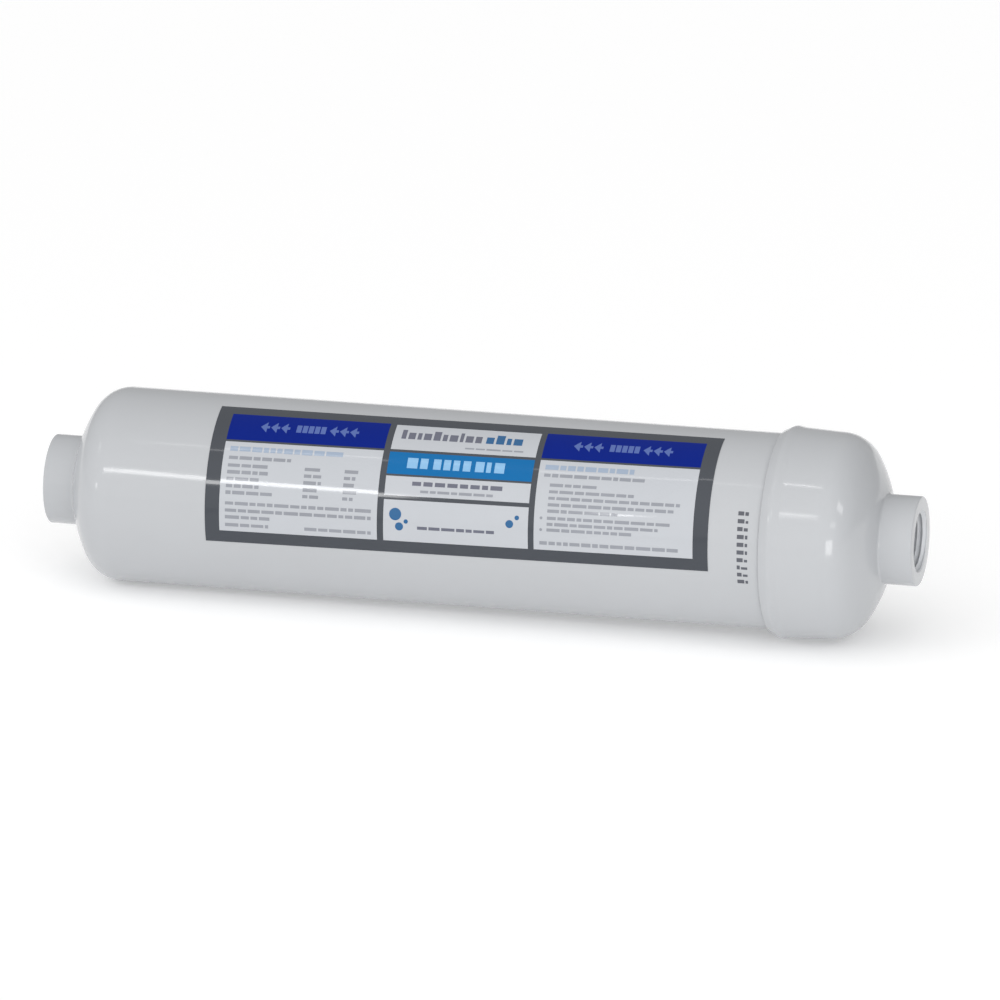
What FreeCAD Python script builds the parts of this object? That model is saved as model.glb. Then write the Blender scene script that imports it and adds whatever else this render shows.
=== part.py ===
import FreeCAD, Part
import math
import os

# Inline water filter: a sealed, spin-welded housing around a carbon block cartridge.
# Millimetres. X runs along the filter, from the outlet port (-X) to the inlet port (+X).
# Z is up, and the printed label faces -Y, tilted upwards.

V = FreeCAD.Vector
V2 = FreeCAD.Base.Vector2d

# ---- overall size and outside form ------------------------------------------------
length = 300.0              # port face to port face
body_r = 32.9               # housing tube, outside
body_wall = 3.0
cap_r = 35.3                # welded end cap, behind its rim bead
cap_dome_r = 34.7           # end cap where its dome starts: 0.6 of draft
port_r = 15.1               # both ports, outside
outlet_port_len = 10.4      # port face to where the dome begins
outlet_dome_h = 15.4
outlet_knuckle = 11.6
inlet_port_len = 11.3
inlet_dome_h = 17.2
inlet_knuckle = 13.4
port_edge_round = 0.5
port_root_round = 1.0
overrun = 1.0               # how far a hole is cut past the face it opens through
same = 0.01                 # two radii or positions closer than this are one edge

# ---- end cap and its weld ---------------------------------------------------------
cap_rim_x = 102.0           # open edge of the cap's skirt
cap_rim_r = 34.0            # outside of the rim's flat edge
cap_bead_r = 35.85          # rounded bead that stiffens the rim
cap_bead_x = 105.6
cap_bead_end_x = 108.6      # where the bead has sunk back to the cap's radius
cap_bead_round = 3.0
cap_bead_foot_round = 4.0
cap_rim_round = 0.6
rim_joint = 0.1             # fine line left between the tube's shoulder and the rim
spigot_r = 32.5             # end of the tube, reduced to enter the skirt
skirt_gap = 0.1             # between the spigot and the skirt
weld_film_len = 7.0         # melted band between tube and skirt
tube_end_x = 118.5
flash_depth = 1.0           # melt trap behind the tube's end
flash_r = 31.5
cap_wall = 3.4
cap_cavity_knuckle = 11.0
inlet_boss_r = 13.0
inlet_boss_x = 131.0        # inner end of the inlet boss

# ---- pipe threads, 1/2 inch taper, 14 per inch ------------------------------------
pitch = 25.4 / 14
thread_minor_r = 9.16       # drilled straight, then tapped
thread_major_r = 10.6       # at the port face
thread_depth = 14.2         # tapped length, mouth chamfer included
drill_depth = 17.0
taper = 1 / 32.0            # loss of radius with depth
flank_angle = math.radians(30)
root_half_flat = 0.04
first_land = 0.06
outlet_hole_r = 7.0
inlet_hole_r = 8.0

# ---- neck socket inside the outlet dome -------------------------------------------
socket_r = 11.2
socket_floor_x = -130.0
socket_mouth_x = -114.0
socket_boss_r = 14.6
socket_lead_in = 1.0

# ---- carbon block cartridge -------------------------------------------------------
block_r = 24.5
block_bore_r = 9.5
block_half = 109.0
glue_t = 0.8
disc_t = 3.2
disc_r = 27.6
disc_lip_wall = 1.2
disc_lip_len = 8.0
disc_bevel = 1.0
wrap_t = 0.7                # outer prefilter felt
strand = 0.55               # netting strand, radial size
strand_w = 0.9
ring_sink = 0.055           # how far a ring is melted into the bars
net_rows = 27
net_bars = 24
core_r = 8.8                # perforated core tube
core_wall = 1.4
core_hole_r = 1.7
core_rows = 26
core_drills = 4             # holes drilled right through at each row
core_plain_end = 12.0       # block's end to the first row of holes
spigot_len = 6.0            # end disc spigots that enter the core tube
spigot_gap = 0.1
spigot_bevel = 0.5

# ---- cartridge neck and its seals -------------------------------------------------
neck_r = 11.0
neck_bore_r = 6.0
neck_bevel = 0.8
groove_r = 8.95
groove_w = 3.4
seal_w = 2.75
seal_round = 1.0
seal_xs = (-125.6, -119.6)

# ---- centring ribs on the blind end -----------------------------------------------
rib_count = 6
rib_t = 2.0
rib_in_r = 15.0
rib_out_r = 24.0
rib_reach = 40.0            # past the cap's inside, which trims the ribs to length
rib_root = 0.5              # how far the ribs are sunk into the disc
web_in_r = 2.5
web_h = 4.0

# ---- label ------------------------------------------------------------------------
label_t = 0.15
label_fit = 0.001           # how closely the film follows the tube
label_x0 = -88.6
label_x1 = 84.5
label_low = -11.8           # degrees above the horizontal, on the -Y side
label_high = 78.4
label_skew = 0.77           # degrees the label was stuck on out of square


class Outline:
    """Half section in the XY plane, turned around the X axis to make a solid."""

    def __init__(self, x, r):
        self.first = V(x, r, 0)
        self.at = self.first
        self.edges = []

    def to(self, *points):
        for x, r in points:
            p = V(x, r, 0)
            self.edges.append(Part.LineSegment(self.at, p).toShape())
            self.at = p
        return self

    def arc(self, cx, cr, radius, end_angle, start_angle):
        def on(a):
            return V(cx + radius * math.cos(a), cr + radius * math.sin(a), 0)
        a, m, b = on(start_angle), on((start_angle + end_angle) / 2), on(end_angle)
        if self.at.distanceToPoint(a) > 1e-6:
            self.to((a.x, a.y))
        self.edges.append(Part.Arc(self.at, m, b).toShape())
        self.at = b
        return self

    def turned(self):
        if self.at.distanceToPoint(self.first) > 1e-6:
            self.to((self.first.x, self.first.y))
        face = Part.Face(Part.Wire(Part.__sortEdges__(self.edges)))
        solid = face.revolve(V(0, 0, 0), V(1, 0, 0), 360)
        if solid.Volume < 0:
            solid.reverse()
        return solid


class Dome:
    """Dished end: a crown arc blended into the tube by a tangent knuckle arc."""

    def __init__(self, x, side, radius, knuckle, height, tip_r):
        self.x, self.side, self.radius, self.knuckle = x, side, radius, knuckle
        a = radius - knuckle
        k = height ** 2 - tip_r ** 2 - knuckle ** 2 + a ** 2
        qa = 4 * (knuckle ** 2 - height ** 2)
        qb = 4 * knuckle * k
        qc = k ** 2 + 4 * height ** 2 * tip_r ** 2
        root = math.sqrt(qb ** 2 - 4 * qa * qc)
        self.crown = max((-qb + root) / (2 * qa), (-qb - root) / (2 * qa))
        self.back = math.sqrt((self.crown - knuckle) ** 2 - a ** 2)
        self.join = math.atan2(a, self.back)

    def draw(self, line, tip_r, wall=0.0, outward=True):
        """Add the dome, or its inside face a wall further in, to an outline."""
        crown, knuckle = self.crown - wall, self.knuckle - wall
        tip = math.asin(tip_r / crown) if tip_r else 0.0
        spans = [(0.0, self.radius - self.knuckle, knuckle, math.pi / 2, self.join),
                 (-self.back, 0.0, crown, self.join, tip)]
        if not outward:
            spans = [(c, r, q, b, a) for c, r, q, a, b in reversed(spans)]
        for c, r, q, a, b in spans:
            if self.side < 0:
                a, b = math.pi - a, math.pi - b
            line.arc(self.x + self.side * c, r, q, b, a)
        return line

    def at_radius(self, r, wall=0.0):
        """Where the crown reaches this radius, along X."""
        d = math.sqrt((self.crown - wall) ** 2 - r ** 2) - self.back
        return self.x + self.side * d


def tube(x0, x1, inner, outer):
    s = Part.makeCylinder(outer, x1 - x0, V(x0, 0, 0), V(1, 0, 0))
    if inner:
        s = s.cut(Part.makeCylinder(inner, x1 - x0, V(x0, 0, 0), V(1, 0, 0)))
    return s


def one_solid(shape):
    solids = shape.Solids
    if len(solids) != 1:
        raise ValueError("expected one solid, got %d" % len(solids))
    return solids[0]


def rounded(shape, x, r, size):
    """Round the circular edge of this radius that lies at this X."""
    picked = []
    for e in shape.Edges:
        c = e.Curve
        if isinstance(c, Part.Circle) and abs(c.Radius - r) < same:
            if abs(c.Center.x - x) < same and abs(e.Length - 2 * math.pi * r) < same:
                picked.append(e)
    return shape.makeFillet(size, picked)


def port_hole(face_x, inward, hole_r, hole_end):
    """Everything removed from a port: mouth chamfer, drilled bore, thread, water way.

    The thread is a ring groove of the true profile and taper at each pitch.
    """
    bevel = thread_major_r - thread_minor_r
    steps = [(-overrun, thread_major_r + overrun), (bevel, thread_minor_r)]
    for i in range(int((thread_depth - bevel) / pitch)):
        d = bevel + first_land + pitch * (i + 0.5)
        root = thread_major_r - d * taper
        spread = (root - thread_minor_r) * math.tan(flank_angle) + root_half_flat
        steps += [(d - spread, thread_minor_r), (d - root_half_flat, root),
                  (d + root_half_flat, root), (d + spread, thread_minor_r)]
    steps += [(drill_depth, thread_minor_r), (drill_depth, hole_r),
              (abs(hole_end - face_x), hole_r), (abs(hole_end - face_x), 0)]
    line = Outline(face_x - inward * overrun, 0)
    return line.to(*[(face_x + inward * d, r) for d, r in steps]).turned()


def cut_all(shape, tools):
    for t in tools:
        shape = shape.cut(t)
    return one_solid(shape)


half = length / 2
outlet_root_x = -half + outlet_port_len
outlet_dome = Dome(outlet_root_x + outlet_dome_h, -1, body_r, outlet_knuckle,
                   outlet_dome_h, port_r)
inlet_root_x = half - inlet_port_len
inlet_dome = Dome(inlet_root_x - inlet_dome_h, 1, cap_dome_r, inlet_knuckle,
                  inlet_dome_h, port_r)
cavity_x = tube_end_x + flash_depth
tube_in_r = body_r - body_wall
cavity_top = inlet_dome.at_radius(0) - cap_wall
cap_cavity = Dome(cavity_x, 1, tube_in_r, cap_cavity_knuckle, cavity_top - cavity_x, 0.0)


def body_shell():
    line = Outline(-half, 0).to((-half, port_r), (outlet_root_x, port_r))
    outlet_dome.draw(line, port_r, outward=False)
    spigot_x = cap_rim_x - rim_joint
    line.to((spigot_x, body_r), (spigot_x, spigot_r), (tube_end_x, spigot_r))
    outside = line.to((tube_end_x, 0)).turned()
    outside = rounded(outside, outlet_root_x, port_r, port_root_round)
    outside = rounded(outside, -half, port_r, port_edge_round)
    boss_foot = outlet_dome.at_radius(socket_boss_r, body_wall)
    line = Outline(socket_mouth_x, 0).to((socket_mouth_x, socket_boss_r),
                                         (boss_foot, socket_boss_r))
    outlet_dome.draw(line, socket_boss_r, body_wall, outward=False)
    cavity = line.to((tube_end_x, tube_in_r), (tube_end_x, 0)).turned()
    socket = tube(socket_floor_x, socket_mouth_x, 0, socket_r)
    lead_in = Part.makeCone(socket_r, socket_r + socket_lead_in, socket_lead_in,
                            V(socket_mouth_x - socket_lead_in, 0, 0), V(1, 0, 0))
    hole = port_hole(-half, 1, outlet_hole_r, socket_floor_x)
    return cut_all(outside, [cavity, socket, lead_in, hole])


def end_cap():
    skirt_in = spigot_r + skirt_gap
    line = Outline(cap_rim_x, 0).to((cap_rim_x, cap_rim_r), (cap_bead_x, cap_bead_r),
                                    (cap_bead_end_x, cap_r), (inlet_dome.x, cap_dome_r))
    inlet_dome.draw(line, port_r)
    outside = line.to((half, port_r), (half, 0)).turned()
    outside = rounded(outside, inlet_root_x, port_r, port_root_round)
    outside = rounded(outside, half, port_r, port_edge_round)
    outside = rounded(outside, cap_bead_x, cap_bead_r, cap_bead_round)
    outside = rounded(outside, cap_bead_end_x, cap_r, cap_bead_foot_round)
    outside = rounded(outside, cap_rim_x, cap_rim_r, cap_rim_round)
    skirt = tube(cap_rim_x, tube_end_x, 0, skirt_in)
    trap = tube(tube_end_x, cavity_x, 0, skirt_in)
    trap = trap.cut(tube(tube_end_x, cavity_x, tube_in_r, flash_r))
    boss = tube(inlet_boss_x, half - overrun, 0, inlet_boss_r)
    cavity = cap_cavity_solid().cut(boss)
    hole = port_hole(half, -1, inlet_hole_r, inlet_boss_x - overrun)
    return cut_all(outside, [skirt, trap, cavity, hole])


def cap_cavity_solid():
    line = Outline(cavity_x, 0).to((cavity_x, tube_in_r))
    return cap_cavity.draw(line, 0.0).turned()


def spin_weld():
    """Melted band between skirt and spigot, with the bead in the trap behind the tube."""
    skirt_in = spigot_r + skirt_gap
    band = Outline(tube_end_x - weld_film_len, spigot_r)
    band.to((tube_end_x - weld_film_len, skirt_in), (cavity_x, skirt_in),
            (cavity_x, flash_r), (tube_end_x, flash_r), (tube_end_x, spigot_r))
    return band.turned()


def label():
    wrap = Part.Cylinder()
    wrap.Radius = body_r
    mid_x, mid_a = (label_x0 + label_x1) / 2, math.radians((label_low + label_high) / 2)
    skew = math.radians(label_skew)
    half_x = (label_x1 - label_x0) / 2
    half_arc = body_r * math.radians(label_high - label_low) / 2
    corners = []
    for sx, sa in ((-1, -1), (1, -1), (1, 1), (-1, 1)):
        x, arc = sx * half_x, sa * half_arc
        corners.append(V2(mid_a + (x * math.sin(skew) + arc * math.cos(skew)) / body_r,
                          mid_x + x * math.cos(skew) - arc * math.sin(skew)))
    edges = [Part.Geom2d.Line2dSegment(a, b).toShape(wrap)
             for a, b in zip(corners, corners[1:] + corners[:1])]
    face = Part.Face(wrap, Part.Wire(Part.__sortEdges__(edges)))
    face.validate()
    film = face.makeOffsetShape(label_t, label_fit, fill=True)
    # angle 0 is at -Y and 90 degrees at +Z, with the cylinder's length along +X
    turn = FreeCAD.Matrix(0, 0, 1, 0, -1, 0, 0, 0, 0, 1, 0, 0, 0, 0, 0, 1)
    film.transformShape(turn)
    return one_solid(film)


def carbon_block():
    return tube(-block_half, block_half, block_bore_r, block_r)


def prefilter_wrap():
    return tube(-block_half, block_half, block_r, block_r + wrap_t)


def outer_netting():
    """Moulded square netting: bars along the cartridge with rings laid over them."""
    low = block_r + wrap_t
    rings, bars = [], []
    step = (2 * block_half - strand_w) / (net_rows - 1)
    for i in range(net_rows):
        x = -block_half + i * step
        rings.append(tube(x, x + strand_w, low + strand - ring_sink, low + 2 * strand))
    sleeve = tube(-block_half, block_half, low, low + strand)
    for i in range(net_bars):
        bar = Part.makeBox(2 * block_half, strand_w, block_r * 2,
                           V(-block_half, -strand_w / 2, 0))
        bar.rotate(V(0, 0, 0), V(1, 0, 0), i * 360.0 / net_bars)
        bars.append(bar)
    bars = sleeve.common(Part.makeCompound(bars))
    return one_solid(rings[0].fuse(rings[1:] + bars.Solids))


def core_tube():
    """Perforated tube that the block is slid over. It bears on both end discs."""
    reach = block_half + glue_t
    pipe = tube(-reach, reach, core_r - core_wall, core_r)
    holes = []
    step = 2 * (block_half - core_plain_end) / (core_rows - 1)
    for i in range(core_rows):
        x = -block_half + core_plain_end + i * step
        for j in range(core_drills):
            a = math.pi / core_drills * (j + (i % 2) / 2)
            d = V(0, math.cos(a), math.sin(a))
            holes.append(Part.makeCylinder(core_hole_r, 2 * (core_r + overrun),
                                           V(x, 0, 0) - d * (core_r + overrun), d))
    return one_solid(pipe.cut(Part.makeCompound(holes)))


def core_wrap():
    return tube(-block_half, block_half, core_r, block_bore_r)


def glue_ring(side):
    a, b = side * block_half, side * (block_half + glue_t)
    return tube(min(a, b), max(a, b), core_r, disc_r - disc_lip_wall)


def end_disc(side, bore_r):
    """Cup that closes one end of the block, with a spigot into the core tube."""
    face = block_half + glue_t
    core_spigot_r = core_r - core_wall - spigot_gap
    line = Outline(side * (face - spigot_len), bore_r)
    line.to((side * (face - spigot_len), core_spigot_r - spigot_bevel),
            (side * (face - spigot_len + spigot_bevel), core_spigot_r),
            (side * face, core_spigot_r),
            (side * face, disc_r - disc_lip_wall),
            (side * (face - disc_lip_len), disc_r - disc_lip_wall),
            (side * (face - disc_lip_len), disc_r),
            (side * (face + disc_t - disc_bevel), disc_r),
            (side * (face + disc_t), disc_r - disc_bevel), (side * (face + disc_t), bore_r))
    return line.turned()


def outlet_end_disc():
    disc = end_disc(-1, neck_bore_r)
    line = Outline(-block_half, neck_bore_r).to((-block_half - glue_t, neck_r))
    line.to((socket_floor_x + neck_bevel, neck_r), (socket_floor_x, neck_r - neck_bevel),
            (socket_floor_x, neck_bore_r))
    neck = line.turned().common(tube(socket_floor_x, -block_half - glue_t, 0, disc_r))
    grooves = [tube(x - groove_w / 2, x + groove_w / 2, groove_r, disc_r)
               for x in seal_xs]
    return cut_all(disc.fuse(neck), grooves)


def blind_end_disc():
    disc = end_disc(1, 0)
    face = block_half + glue_t + disc_t
    ribs = []
    for i in range(rib_count):
        post = Part.makeBox(rib_reach, rib_t, rib_out_r - rib_in_r,
                            V(face - rib_root, -rib_t / 2, rib_in_r))
        web = Part.makeBox(web_h + rib_root, rib_t, rib_in_r + rib_root - web_in_r,
                           V(face - rib_root, -rib_t / 2, web_in_r))
        for s in (post, web):
            s.rotate(V(0, 0, 0), V(1, 0, 0), i * 360.0 / rib_count)
        ribs += [post, web]
    room = tube(face - rib_root, cavity_x, 0, tube_in_r).fuse(cap_cavity_solid())
    ribs = [r.common(room) for r in ribs]
    return one_solid(disc.fuse(ribs))


def neck_seal(x):
    """Squeezed O-ring, flattened against the groove floor and the socket wall."""
    q = seal_round
    a, b, lo, hi = x - seal_w / 2, x + seal_w / 2, groove_r, socket_r
    line = Outline(a, lo + q).to((a, hi - q))
    line.arc(a + q, hi - q, q, math.pi / 2, math.pi)
    line.to((b - q, hi)).arc(b - q, hi - q, q, 0.0, math.pi / 2)
    line.to((b, lo + q)).arc(b - q, lo + q, q, -math.pi / 2, 0.0)
    line.to((a + q, lo)).arc(a + q, lo + q, q, -math.pi, -math.pi / 2)
    return line.turned()


nodes = {
    "body_shell": body_shell(),
    "end_cap": end_cap(),
    "spin_weld_bead": spin_weld(),
    "label": label(),
    "carbon_block": carbon_block(),
    "prefilter_wrap": prefilter_wrap(),
    "outer_netting": outer_netting(),
    "core_tube": core_tube(),
    "core_wrap": core_wrap(),
    "outlet_glue_ring": glue_ring(-1),
    "inlet_glue_ring": glue_ring(1),
    "outlet_end_disc": outlet_end_disc(),
    "blind_end_disc": blind_end_disc(),
    "neck_seal_outer": neck_seal(seal_xs[0]),
    "neck_seal_inner": neck_seal(seal_xs[1]),
}

os.makedirs("parts", exist_ok=True)
for name, shape in nodes.items():
    if not shape.isValid() or shape.Volume <= 0:
        raise ValueError("bad shape: " + name)
    shape.exportStep("parts/%s.step" % name)
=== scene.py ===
import math
import random

import bpy
from mathutils import Matrix, Vector


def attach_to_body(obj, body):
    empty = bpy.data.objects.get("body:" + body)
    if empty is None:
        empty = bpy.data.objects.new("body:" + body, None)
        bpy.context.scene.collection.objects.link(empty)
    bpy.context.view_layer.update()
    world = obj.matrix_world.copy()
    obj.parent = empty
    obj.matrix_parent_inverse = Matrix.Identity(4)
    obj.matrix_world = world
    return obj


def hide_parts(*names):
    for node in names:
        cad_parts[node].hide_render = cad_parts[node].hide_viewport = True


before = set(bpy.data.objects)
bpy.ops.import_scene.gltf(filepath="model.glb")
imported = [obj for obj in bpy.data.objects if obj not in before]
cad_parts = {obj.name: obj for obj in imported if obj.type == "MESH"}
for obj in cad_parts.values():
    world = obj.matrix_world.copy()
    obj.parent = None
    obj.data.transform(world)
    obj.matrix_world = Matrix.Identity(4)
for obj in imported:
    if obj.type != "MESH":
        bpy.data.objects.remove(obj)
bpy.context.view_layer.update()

# millimetres, with the housing's axis along X
MM = 0.001
TURN = 2 * math.pi
FACE_X = 150.0              # port face, from the middle
TUBE_R = 32.9
WALL = 3.0
BORE_R = TUBE_R - WALL
PORT_R = 15.1
PORT_ROOT = 1.0             # rounding at the foot and at the edge of a port
PORT_EDGE = 0.5
SPIGOT_R = 32.5             # end of the tube, inside the cap's skirt
SPIGOT_X = 101.9            # shoulder where the tube steps down
EASE = 0.1                  # bevel on the shoulder
TUBE_END_X = 118.5
TRAP_END_X = 119.5          # melt trap behind the tube's end
TRAP_R = 31.5
SKIRT_R = 32.6
CAP_RIM_X = 102.0
CAP_WALL = 3.4
BOSS_R, BOSS_X = 13.0, 131.0
SOCKET_R, SOCKET_FLOOR_X, SOCKET_MOUTH_X = 11.2, -130.0, -114.0
SOCKET_BOSS_R, LEAD_IN = 14.6, 1.0
OUTLET_HOLE_R, INLET_HOLE_R = 7.0, 8.0

# 1/2 inch taper pipe thread
PITCH = 25.4 / 14
MINOR_R, MAJOR_R = 9.16, 10.6
TAPER = 1 / 32
FLANK = math.tan(math.radians(30))
FLAT = 0.04                 # half the flat at the thread's root
RUN_OUT = 13.2              # depth where the thread starts to fade
FADE = 1.2
THREAD_END, DRILL_END = 14.8, 17.0
THREAD_STEP = 0.13

# ---------------------------------------------------------------- outline of the housing


class Dome:
    """Crown arc blended into a tube by a tangent knuckle arc (millimetres)."""

    def __init__(self, x, side, radius, knuckle, height, tip):
        self.x, self.side, self.radius, self.knuckle = x, side, radius, knuckle
        a = radius - knuckle
        k = height ** 2 - tip ** 2 - knuckle ** 2 + a ** 2
        qa, qb = 4 * (knuckle ** 2 - height ** 2), 4 * knuckle * k
        qc = k ** 2 + 4 * height ** 2 * tip ** 2
        root = math.sqrt(qb ** 2 - 4 * qa * qc)
        self.crown = max((-qb + root) / (2 * qa), (-qb - root) / (2 * qa))
        self.back = math.sqrt((self.crown - knuckle) ** 2 - a ** 2)
        self.join = math.atan2(a, self.back)

    def at(self, r, wall=0.0):
        return self.x + self.side * (math.sqrt((self.crown - wall) ** 2 - r ** 2) - self.back)

    def points(self, tip, wall=0.0, n=18):
        """From the tube to the tip radius."""
        crown, knuckle = self.crown - wall, self.knuckle - wall
        out = []
        for i in range(n + 1):
            t = math.pi / 2 + (self.join - math.pi / 2) * i / n
            out.append((self.x + self.side * knuckle * math.cos(t),
                        self.radius - self.knuckle + knuckle * math.sin(t)))
        t1 = math.asin(tip / crown)
        for i in range(1, n + 1):
            t = self.join + (t1 - self.join) * i / n
            out.append((self.x + self.side * (crown * math.cos(t) - self.back),
                        crown * math.sin(t)))
        return out

    def root_round(self, tip, q, n=8):
        """Fillet of radius q between the crown and a port of radius tip."""
        cx = math.sqrt((self.crown + q) ** 2 - (tip + q) ** 2) - self.back
        cr = tip + q
        touch = math.atan2(cr, cx + self.back)
        a0 = -math.pi + touch
        out = []
        for i in range(n + 1):
            t = a0 + (-math.pi / 2 - a0) * i / n
            out.append((self.x + self.side * (cx + q * math.cos(t)), cr + q * math.sin(t)))
        r_touch = self.crown * math.sin(touch)
        return out, r_touch


def corner(p0, p, p1, q, n=6):
    """Rounds the corner at p between two straight lines."""
    a, c, b = Vector(p0), Vector(p), Vector(p1)
    u, v = (a - c).normalized(), (b - c).normalized()
    half = u.angle(v) / 2
    d = q / math.tan(half)
    mid = c + (u + v).normalized() * (q / math.sin(half))
    s, e = c + u * d - mid, c + v * d - mid
    total = s.angle_signed(e)
    out = []
    for i in range(n + 1):
        t = -total * i / n
        out.append((mid.x + s.x * math.cos(t) - s.y * math.sin(t),
                    mid.y + s.x * math.sin(t) + s.y * math.cos(t)))
    return out


def dome_side(dome, face_x):
    """Outer line from the tube, over the dome and the port, to the port's face."""
    fillet, r_touch = dome.root_round(PORT_R, PORT_ROOT)
    line = dome.points(r_touch)
    line += fillet[1:]
    line += corner((fillet[-1][0], PORT_R), (face_x, PORT_R), (face_x, MAJOR_R), PORT_EDGE)
    return line


def port_rows(face_x, inward, hole_r, hole_end):
    """Rows of the bore from the mouth inwards: a radius, or a function of the angle."""
    rows = []
    depth = 0.0
    while depth < THREAD_END - THREAD_STEP:
        x = face_x + inward * depth

        def radius(angle, x=x, depth=depth):
            root = MAJOR_R - depth * TAPER - max(0.0, depth - RUN_OUT) * FADE
            t = abs((x / PITCH - angle / TURN) % 1.0 - 0.5) * PITCH
            cut = root - max(0.0, t - FLAT) / FLANK
            return max(MINOR_R, cut, MAJOR_R - depth)
        rows.append((x, radius))
        depth += THREAD_STEP
    end_x, floor_x = face_x + inward * THREAD_END, face_x + inward * DRILL_END
    rows += [(end_x, MINOR_R), (floor_x, MINOR_R), (floor_x, hole_r), (hole_end, hole_r)]
    return rows


OUTLET = Dome(-124.2, -1, TUBE_R, 11.6, 15.4, PORT_R)
INLET = Dome(121.5, 1, 34.7, 13.4, 17.2, PORT_R)
CAVITY_TOP = INLET.at(0) - CAP_WALL
CAVITY = Dome(TRAP_END_X, 1, BORE_R, 11.0, CAVITY_TOP - TRAP_END_X, 0.0)


def body_rows():
    out = list(reversed(dome_side(OUTLET, -FACE_X)))
    out += [(x, TUBE_R) for x in (-80, -30, 20, 70, SPIGOT_X - EASE)]
    out += [(SPIGOT_X, TUBE_R - EASE), (SPIGOT_X, SPIGOT_R)]
    out += [(TUBE_END_X, SPIGOT_R), (TUBE_END_X, BORE_R)]
    out += OUTLET.points(SOCKET_BOSS_R, WALL)
    out += [(SOCKET_MOUTH_X, SOCKET_BOSS_R), (SOCKET_MOUTH_X, SOCKET_R + LEAD_IN),
            (SOCKET_MOUTH_X - LEAD_IN, SOCKET_R), (SOCKET_FLOOR_X, SOCKET_R),
            (SOCKET_FLOOR_X, OUTLET_HOLE_R)]
    out += list(reversed(port_rows(-FACE_X, 1, OUTLET_HOLE_R, SOCKET_FLOOR_X)))[1:]
    return out


def cap_rows():
    rim, edge, bead = (CAP_RIM_X, SKIRT_R), (CAP_RIM_X, 34.0), (105.6, 35.85)
    foot, side_end = (108.6, 35.3), (INLET.x, INLET.radius)
    out = [rim] + corner(rim, edge, bead, 0.6) + corner(edge, bead, foot, 3.0, 10)
    out += corner(bead, foot, side_end, 4.0)
    out += dome_side(INLET, FACE_X)
    out += port_rows(FACE_X, -1, INLET_HOLE_R, BOSS_X)
    out += [(BOSS_X, BOSS_R)]
    out += list(reversed(CAVITY.points(BOSS_R)))
    out += [(TUBE_END_X, BORE_R), (TUBE_END_X, TRAP_R), (TRAP_END_X, TRAP_R),
            (TRAP_END_X, SKIRT_R)]
    return out


def lathe(name, rows, segments=256):
    """Turns a closed line of (x, radius) rows around the X axis."""
    verts, faces = [], []
    for x, r in rows:
        for j in range(segments):
            a = TURN * j / segments
            q = (r(a) if callable(r) else r) * MM
            verts.append((x * MM, q * math.cos(a), q * math.sin(a)))
    n = len(rows)
    for i in range(n):
        for j in range(segments):
            a, b = i * segments + j, i * segments + (j + 1) % segments
            c, d = ((i + 1) % n) * segments + (j + 1) % segments, ((i + 1) % n) * segments + j
            faces.append((a, b, c, d))
    mesh = bpy.data.meshes.new(name)
    mesh.from_pydata(verts, [], faces)
    mesh.update()
    mesh.shade_smooth()
    mesh.set_sharp_from_angle(angle=math.radians(28))
    obj = bpy.data.objects.new(name, mesh)
    bpy.context.scene.collection.objects.link(obj)
    return obj


# ---------------------------------------------------------------- materials


def srgb(r, g, b):
    def lin(c):
        c /= 255
        return c / 12.92 if c <= 0.04045 else ((c + 0.055) / 1.055) ** 2.4
    return (lin(r), lin(g), lin(b), 1.0)


GLOSS_SPREAD = 0.08         # how much roughness wanders over a surface
GRAIN_DEPTH = 0.0002        # metres


def material(name, colour, rough, noise=0.02, scale=60.0, bump=0.0, spec=0.5):
    """Plastic-like finish with a little procedural mottling in colour and gloss."""
    m = bpy.data.materials.new(name)
    m.use_nodes = True
    nt = m.node_tree
    bsdf = nt.nodes["Principled BSDF"]
    bsdf.inputs["Specular IOR Level"].default_value = spec
    coord = nt.nodes.new("ShaderNodeTexCoord")
    tex = nt.nodes.new("ShaderNodeTexNoise")
    tex.inputs["Scale"].default_value = scale
    tex.inputs["Detail"].default_value = 3.0
    nt.links.new(coord.outputs["Object"], tex.inputs["Vector"])
    ramp = nt.nodes.new("ShaderNodeValToRGB")
    ramp.color_ramp.elements[0].position = 0.3
    ramp.color_ramp.elements[1].position = 0.7
    ramp.color_ramp.elements[0].color = [c * (1 - noise) for c in colour[:3]] + [1]
    ramp.color_ramp.elements[1].color = [min(1.0, c * (1 + noise)) for c in colour[:3]] + [1]
    nt.links.new(tex.outputs["Fac"], ramp.inputs["Fac"])
    nt.links.new(ramp.outputs["Color"], bsdf.inputs["Base Color"])
    gloss = nt.nodes.new("ShaderNodeMapRange")
    gloss.inputs["To Min"].default_value = rough * (1 - GLOSS_SPREAD)
    gloss.inputs["To Max"].default_value = rough * (1 + GLOSS_SPREAD)
    nt.links.new(tex.outputs["Fac"], gloss.inputs["Value"])
    nt.links.new(gloss.outputs["Result"], bsdf.inputs["Roughness"])
    if bump:
        fine = nt.nodes.new("ShaderNodeTexNoise")
        fine.inputs["Scale"].default_value = scale * 12
        nt.links.new(coord.outputs["Object"], fine.inputs["Vector"])
        node = nt.nodes.new("ShaderNodeBump")
        node.inputs["Strength"].default_value = bump
        node.inputs["Distance"].default_value = GRAIN_DEPTH
        nt.links.new(fine.outputs["Fac"], node.inputs["Height"])
        nt.links.new(node.outputs["Normal"], bsdf.inputs["Normal"])
    return m


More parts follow.
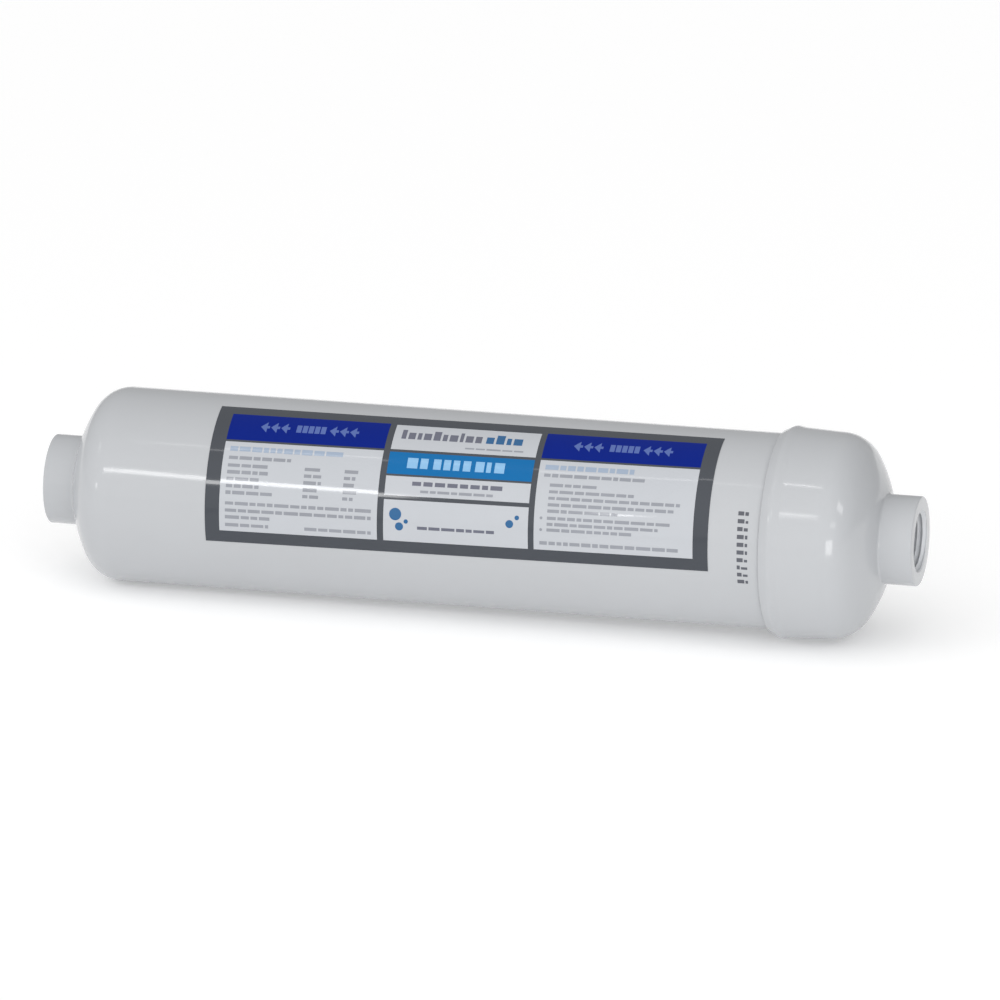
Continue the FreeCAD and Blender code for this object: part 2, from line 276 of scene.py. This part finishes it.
HOUSING = material("housing", srgb(179, 181, 184), 0.11, noise=0.012, scale=18, bump=0.04)
FILM = material("label_film", srgb(50, 55, 63), 0.08, noise=0.03, spec=0.6)
PAPER = material("label_white", srgb(181, 184, 189), 0.08, noise=0.008, spec=0.6)
NAVY = material("label_navy", srgb(8, 33, 124), 0.3, noise=0.03, spec=0.06)
CYAN = material("label_cyan", srgb(8, 101, 160), 0.2, noise=0.03, spec=0.15)
PALE = material("label_arrow", srgb(72, 96, 162), 0.11, noise=0.03)
SKY = material("label_heading", srgb(148, 162, 181), 0.08, noise=0.03)
GREY = material("label_text", srgb(140, 143, 150), 0.1, noise=0.05)
DARK = material("label_dark_text", srgb(96, 98, 112), 0.11, noise=0.05)
BLUE = material("label_blue", srgb(24, 88, 136), 0.08, noise=0.05)
WHITE = material("label_light", srgb(128, 176, 214), 0.11, noise=0.02)
# paler colour for the tapped bores: painted light, standing in for light let through the
# translucent plastic into the recess
BORE_PAINTED_LIGHT = material("housing_bore_painted_light", srgb(200, 202, 205), 0.5, noise=0.02, scale=200)
INK = material("ink_marks", srgb(82, 84, 92), 0.4, noise=0.1)
CARBON = material("carbon", (0.012, 0.012, 0.013, 1), 0.85, noise=0.3, scale=400, bump=0.5)
FELT = material("felt", (0.86, 0.86, 0.84, 1), 0.9, noise=0.05, scale=300, bump=0.5)
NETTING = material("netting", (0.82, 0.83, 0.83, 1), 0.45)
INNER = material("cartridge_plastic", (0.8, 0.81, 0.81, 1), 0.4)
GLUE = material("glue", (0.72, 0.66, 0.5, 1), 0.5, noise=0.08)
SEAL = material("seal", (0.015, 0.015, 0.016, 1), 0.5, noise=0.1)
WELD = material("weld", srgb(190, 193, 197), 0.5)

# ---------------------------------------------------------------- housing


def attach(obj, mat, slot, *stands_for):
    obj.data.materials.clear()
    obj.data.materials.append(mat)
    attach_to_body(obj, "root")
    if stands_for:
        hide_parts(*stands_for)
    return obj


# faces between these stations and under this radius belong to a bore, which gets the paler
# painted-light colour
BORE_DEEP_X, BORE_MOUTH_X, BORE_TOP_R = 129.5, 149.95, 10.8

body = attach(lathe("housing_body", body_rows()), HOUSING, "housing", "body_shell")
cap = attach(lathe("housing_cap", cap_rows()), HOUSING, "housing", "end_cap")
for shell in (body, cap):
    # the tapped bores are painted paler, a painted brightening in place of the light that the
    # translucent plastic lets into them, and are matt
    shell.data.materials.append(BORE_PAINTED_LIGHT)
    for face in shell.data.polygons:
        c = face.center
        deep = BORE_DEEP_X * MM < abs(c.x) < BORE_MOUTH_X * MM
        if deep and math.hypot(c.y, c.z) < BORE_TOP_R * MM:
            face.material_index = 1

for node, mat, name in (
        ("spin_weld_bead", WELD, "weld"), ("carbon_block", CARBON, "carbon"),
        ("prefilter_wrap", FELT, "felt"), ("core_wrap", FELT, "felt"),
        ("outer_netting", NETTING, "netting"), ("core_tube", INNER, "cartridge_plastic"),
        ("outlet_end_disc", INNER, "cartridge_plastic"),
        ("blind_end_disc", INNER, "cartridge_plastic"),
        ("outlet_glue_ring", GLUE, "glue"), ("inlet_glue_ring", GLUE, "glue"),
        ("neck_seal_outer", SEAL, "seal"), ("neck_seal_inner", SEAL, "seal")):
    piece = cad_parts[node]
    piece.data.materials.clear()
    piece.data.materials.append(mat)

# ---------------------------------------------------------------- label

LABEL_W, LABEL_H = 173.1, TUBE_R * math.radians(90.2)
MID_X, MID_A = -2.05, math.radians(33.3)
SKEW = math.radians(0.77)
FILM_T, FIELD_T, PRINT_T = 0.15, 0.165, 0.18    # heights above the tube
STAMP_T = 0.02
EPS = 1e-9


def on_tube(a, b, r):
    """Label position (a along, b up, from its lower left corner) on the tube, in metres."""
    u, v = a - LABEL_W / 2, b - LABEL_H / 2
    x = MID_X + u * math.cos(SKEW) - v * math.sin(SKEW)
    t = MID_A + (u * math.sin(SKEW) + v * math.cos(SKEW)) / TUBE_R
    return (x * MM, -r * math.cos(t) * MM, r * math.sin(t) * MM)


def span(poly, level):
    """Left and right ends of a convex outline at this height."""
    hits = []
    for (a0, b0), (a1, b1) in zip(poly, poly[1:] + poly[:1]):
        if abs(b1 - b0) < EPS:
            if abs(level - b0) < EPS:
                hits += [a0, a1]
        elif min(b0, b1) - EPS <= level <= max(b0, b1) + EPS:
            hits.append(a0 + (a1 - a0) * (level - b0) / (b1 - b0))
    return min(hits), max(hits)


def decal(name, shapes, lift, mat, slot="label_film", skirt=0.0, step=0.7):
    """Thin printed or stuck layer made of convex outlines, bent around the tube."""
    verts, faces = [], []
    r = TUBE_R + lift
    for poly in shapes:
        lo, hi = min(p[1] for p in poly), max(p[1] for p in poly)
        marks = sorted(set([round(p[1], 5) for p in poly]))
        levels = []
        for c, d in zip(marks, marks[1:]):
            n = max(1, math.ceil((d - c) / step))
            levels += [c + (d - c) * i / n for i in range(n)]
        levels.append(marks[-1])
        levels = [min(max(v, lo), hi) for v in levels]
        base = len(verts)
        for level in levels:
            left, right = span(poly, level)
            verts += [on_tube(left, level, r), on_tube(right, level, r)]
        for i in range(len(levels) - 1):
            k = base + 2 * i
            faces.append((k, k + 1, k + 3, k + 2))
        if skirt:
            low = len(verts)
            for level in levels:
                left, right = span(poly, level)
                verts += [on_tube(left, level, r - skirt), on_tube(right, level, r - skirt)]
            for i in range(len(levels) - 1):
                k, m = base + 2 * i, low + 2 * i
                faces += [(k, k + 2, m + 2, m), (k + 1, m + 1, m + 3, k + 3)]
            end = 2 * (len(levels) - 1)
            faces += [(base, low, low + 1, base + 1),
                      (base + end, base + end + 1, low + end + 1, low + end)]
    mesh = bpy.data.meshes.new(name)
    mesh.from_pydata(verts, [], faces)
    mesh.update()
    mesh.shade_smooth()
    mesh.set_sharp_from_angle(angle=math.radians(30))
    obj = bpy.data.objects.new(name, mesh)
    bpy.context.scene.collection.objects.link(obj)
    return attach(obj, mat, slot)


def box(a0, b0, a1, b1):
    return [(a0, b0), (a1, b0), (a1, b1), (a0, b1)]


def disc(a, b, r, n=20):
    return [(a + r * math.cos(TURN * i / n), b + r * math.sin(TURN * i / n)) for i in range(n)]


rng = random.Random(7)
SHORTEST = 0.6              # no bar is begun in less room than this


def words(a0, a1, b, h, short=1.6, long=5.0, gap=0.55):
    """A line of plain word-length bars between two ends, in place of print."""
    out, a = [], a0
    while a < a1 - SHORTEST:
        w = min(rng.uniform(short, long), a1 - a)
        if a1 - a - w < short:
            w = a1 - a
        t = h * rng.uniform(0.86, 1.0)
        out.append(box(a, b - t / 2, a + w, b + t / 2))
        a += w + gap
    return out


film = decal("label_film", [box(0, 0, LABEL_W, LABEL_H)], FILM_T, FILM, skirt=FILM_T)
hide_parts("label")
decal("label_panels", [
    box(5.0, 4.2, 59.6, 35.2), box(61.8, 36.0, 111.6, 47.2), box(61.8, 19.6, 111.6, 26.2),
    box(61.8, 4.2, 111.6, 18.2), box(113.6, 4.2, 168.0, 35.2)], FIELD_T, PAPER)
decal("label_headers", [box(5.0, 36.0, 59.6, 47.6), box(113.6, 36.0, 168.0, 47.6)], FIELD_T, NAVY)
decal("label_band", [box(61.8, 26.9, 111.6, 35.0)], FIELD_T, CYAN)


def flow_arrows(a, b):
    out = []
    for i in range(3):
        tip = a + 3.5 * i
        out.append([(tip, b), (tip + 2.2, b - 2.3), (tip + 2.2, b + 2.3)])
        out.append(box(tip + 2.2, b - 0.55, tip + 3.1, b + 0.55))
    return out


arrows = []
for start in (15.8, 123.6):
    arrows += flow_arrows(start, 42.0) + flow_arrows(start + 23.8, 42.0)
    arrows += [box(start + 12.4 + 2.1 * i, 40.4, start + 14.1 + 2.1 * i, 43.7)
               for i in range(5)]
decal("label_arrows", arrows, PRINT_T, PALE)

decal("label_headings", words(7, 46, 32.6, 2.0) + words(115.6, 146, 32.6, 2.0), PRINT_T, SKY)

text = words(7, 28.5, 29.3, 1.3)
for b in (26.6, 24.3, 22.0, 19.6, 17.4):
    text += words(7, rng.uniform(17, 26), b, 1.25)
    text += words(33.6, rng.uniform(37.5, 40), b, 1.25)
    text += words(47.4, rng.uniform(50, 53), b, 1.25)
text += words(7, 57.5, 13.8, 1.2) + words(7, 57.5, 11.4, 1.2)
text += words(7, 22.5, 9.1, 1.2) + words(7, 22, 6.4, 1.2) + words(34.5, 57.5, 6.4, 1.2)
text += words(115.6, 150, 29.6, 1.3)
for a1, b in ((134, 26.2), (147, 23.9), (163, 21.7), (161, 19.5), (142, 17.4),
              (160, 15.0), (156, 13.0), (147, 11.1)):
    text += words(118, a1, b, 1.15)
text += words(115.6, 163, 6.6, 1.3) + words(74, 99, 21.3, 1.0) + words(87, 107, 38.0, 0.7)
text += [disc(116, 15.0, 0.5), disc(116, 11.1, 0.5)]
decal("label_text", text, PRINT_T, GREY)

mark = []
a = 64.5
for w, h in ((1.6, 4.2), (2.4, 3.0), (1.4, 3.0), (2.6, 3.0), (2.4, 4.2), (1.6, 3.0),
             (2.8, 3.0), (1.2, 4.2), (2.6, 3.0), (2.2, 3.0)):
    mark.append(box(a, 40.6, a + w, 40.6 + h))
    a += w + 0.75
decal("label_mark", mark + words(71, 102, 23.9, 1.6, 2.0, 5.0, 0.8), PRINT_T, DARK)
decal("label_dots", [disc(65.9, 13.4, 2.1), disc(67.3, 9.3, 1.4), disc(69.6, 11.1, 0.75),
                     disc(105.2, 12.3, 1.35), disc(107.7, 14.5, 0.8),
                     box(93.6, 40.6, 96.2, 43.6), box(97.0, 40.6, 99.8, 44.8),
                     box(100.6, 40.6, 102.2, 43.6), box(103.0, 40.6, 106.0, 43.6)],
      PRINT_T, BLUE)
decal("label_footer", words(73.5, 100, 9.1, 1.1), PRINT_T, DARK)
letters, a = [], 68.4
for w, g in ((3.6, 0.9), (2.6, 1.9), (2.6, 0.9), (2.4, 0.9), (2.2, 1.2), (2.6, 1.6),
             (3.0, 0.8), (1.6, 1.2), (3.4, 0)):
    letters.append(box(a, 29.2, a + w, 33.0))
    a += w + g
decal("label_band_marks", letters, PRINT_T, WHITE)

# a column of printed marks beside the cap stands in for a date code
stamp = []
for i in range(10):
    b = 20.4 - 2.62 * i
    cut = rng.uniform(1.0, 2.6)
    stamp += [box(183.0, b - 0.7, 183.0 + cut, b + 0.7),
              box(183.4 + cut, b - 0.7, 186.6, b + rng.uniform(0.1, 0.7))]
decal("stamp_marks", stamp, STAMP_T, INK, slot=None)

# ---------------------------------------------------------------- floor, light, camera

FLOOR_HALF = 5              # metres
FLOOR_GAP = 0.01            # millimetres
mesh = bpy.data.meshes.new("floor")
square = [(FLOOR_HALF * x, FLOOR_HALF * y, 0) for x, y in ((-1, -1), (1, -1), (1, 1), (-1, 1))]
mesh.from_pydata(square, [], [(0, 1, 2, 3)])
floor = bpy.data.objects.new("floor", mesh)
bpy.context.scene.collection.objects.link(floor)
# the filter lies on the cap's bead and on the tube beside the outlet dome
plain_rows = [row for row in cap_rows() if not callable(row[1])]
touch_x, touch_r = max(plain_rows, key=lambda row: row[1])
tilt = math.atan2(touch_r - TUBE_R, touch_x - OUTLET.x)
floor.rotation_euler = (0, tilt, 0)
floor.location = (touch_x * MM, 0, -(touch_r + FLOOR_GAP) * MM)
paint = bpy.data.materials.new("floor")
paint.use_nodes = True
nt = paint.node_tree
bsdf = nt.nodes["Principled BSDF"]
bsdf.inputs["Base Color"].default_value = (0.9, 0.9, 0.9, 1)
bsdf.inputs["Roughness"].default_value = 0.8
bsdf.inputs["Specular IOR Level"].default_value = 0.1
bsdf.inputs["Emission Color"].default_value = (1, 1, 1, 1)
bsdf.inputs["Emission Strength"].default_value = 0.23
mesh.materials.append(paint)

world = bpy.data.worlds.new("studio")
bpy.context.scene.world = world
world.use_nodes = True
nt = world.node_tree
coord = nt.nodes.new("ShaderNodeTexCoord")


def towards(direction, near, far, value_near, value_far):
    """Grades the studio from one value to another by the angle to a direction."""
    dot = nt.nodes.new("ShaderNodeVectorMath")
    dot.operation = "DOT_PRODUCT"
    dot.inputs[1].default_value = Vector(direction).normalized()
    nt.links.new(coord.outputs["Generated"], dot.inputs[0])
    grade = nt.nodes.new("ShaderNodeMapRange")
    grade.inputs["From Min"].default_value = near
    grade.inputs["From Max"].default_value = far
    grade.inputs["To Min"].default_value = value_near
    grade.inputs["To Max"].default_value = value_far
    nt.links.new(dot.outputs["Value"], grade.inputs["Value"])
    return grade.outputs["Result"]


# brightest in front and above, dim behind, and dimmer still to the right
both = nt.nodes.new("ShaderNodeMath")
both.operation = "MULTIPLY"
nt.links.new(towards((0.1, -0.86, 0.5), -0.6, 0.9, 0.43, 1.27), both.inputs[0])
nt.links.new(towards((0.93, 0.15, 0.35), 0.45, 1.0, 1.0, 0.4), both.inputs[1])
nt.links.new(both.outputs["Value"], nt.nodes["Background"].inputs["Strength"])
nt.nodes["Background"].inputs["Color"].default_value = (1, 1, 1, 1)

# where the camera stands: turned towards the inlet, and raised
VIEW_A, VIEW_E = math.radians(14.05), math.radians(16.9)
BACK = Vector((math.sin(VIEW_A) * math.cos(VIEW_E), -math.cos(VIEW_A) * math.cos(VIEW_E),
               math.sin(VIEW_E)))


LAMP_DISTANCE = 0.35        # metres from the housing


def strip(name, x, r, theta, slope, length, width, power, roll=0.0):
    """Strip light seen mirrored at one point of the housing.

    The point is given by its x and radius (mm), its angle above the waist and the
    slope of the surface towards +X (degrees). Length and width are in metres, power
    in watts, and the length runs along the housing.
    """
    theta, slope, roll = math.radians(theta), math.radians(slope), math.radians(roll)
    out = Vector((0, -math.cos(theta), math.sin(theta)))
    n = out * math.cos(slope) + Vector((math.sin(slope), 0, 0))
    ray = n * (2 * n.dot(BACK)) - BACK
    data = bpy.data.lights.new(name, "AREA")
    data.shape = "RECTANGLE"
    data.size, data.size_y = length, width
    data.energy = power
    lamp = bpy.data.objects.new(name, data)
    spot = Vector((x * MM, 0, 0)) + out * r * MM
    lamp.location = spot + ray * LAMP_DISTANCE
    z = ray.normalized()
    u = (Vector((1, 0, 0)) - z * z.x).normalized()
    v = z.cross(u)
    u, v = u * math.cos(roll) + v * math.sin(roll), v * math.cos(roll) - u * math.sin(roll)
    lamp.rotation_euler = Matrix((u, v, z)).transposed().to_euler()
    bpy.context.scene.collection.objects.link(lamp)


strip("key", -84, 32.9, 23.4, 0, 0.13, 0.026, 0.088, roll=-17)
strip("glint", 56, 32.9, 19.8, 0, 0.016, 0.010, 0.0045)
strip("upper", -5, 32.9, 43.2, 0, 0.24, 0.007, 0.016)
strip("cap_upper", 116, 35.0, 44, 2.7, 0.022, 0.012, 0.0065)
strip("cap_lower", 116.5, 35.0, 27.0, 2.7, 0.022, 0.011, 0.0055)
strip("cap_spot_low", 126.2, 33.7, 10, 21.2, 0.115, 0.10, 0.17)
strip("cap_spot_high", 128.9, 32.7, 33.5, 32.5, 0.11, 0.055, 0.07)
strip("cap_spot_mid", 127.0, 33.4, 23, 24.5, 0.09, 0.035, 0.022)
strip("dome_spot", -126.6, 32.6, 15, -12, 0.05, 0.035, 0.025)
strip("dome_streak", -126.9, 32.5, 38, -14, 0.035, 0.08, 0.015)
strip("outlet_port", -146, 15.1, 23.5, 0, 0.010, 0.024, 0.0038)
strip("inlet_port", 143.5, 15.1, 25.5, 0, 0.018, 0.02, 0.009)

# narrow beam into the inlet's mouth
data = bpy.data.lights.new("bore", "SPOT")
data.energy = 0.55
data.spot_size, data.spot_blend = math.radians(2.6), 0.5
snoot = bpy.data.objects.new("bore", data)
ray = Vector((0.62, -0.74, 0.22)).normalized()
snoot.location = Vector((FACE_X * MM, 0, 0)) + ray * LAMP_DISTANCE
snoot.rotation_mode = "QUATERNION"
snoot.rotation_quaternion = (-ray).to_track_quat("-Z", "Y")
bpy.context.scene.collection.objects.link(snoot)

LENS, DISTANCE = 475.73, 4.4418                 # millimetres and metres
AIM_RIGHT, AIM_UP = 0.005297, 0.003193          # metres, of the view's middle
data = bpy.data.cameras.new("camera")
camera = bpy.data.objects.new("camera", data)
bpy.context.scene.collection.objects.link(camera)
bpy.context.scene.camera = camera
data.sensor_width = 36
data.lens = LENS
data.clip_start, data.clip_end = 0.1, 50
right = Vector((math.cos(VIEW_A), math.sin(VIEW_A), 0))
up = BACK.cross(right)
camera.location = BACK * DISTANCE + right * AIM_RIGHT + up * AIM_UP
camera.rotation_mode = "QUATERNION"
camera.rotation_quaternion = (-BACK).to_track_quat("-Z", "Y")

bpy.context.scene.view_settings.view_transform = "Standard"
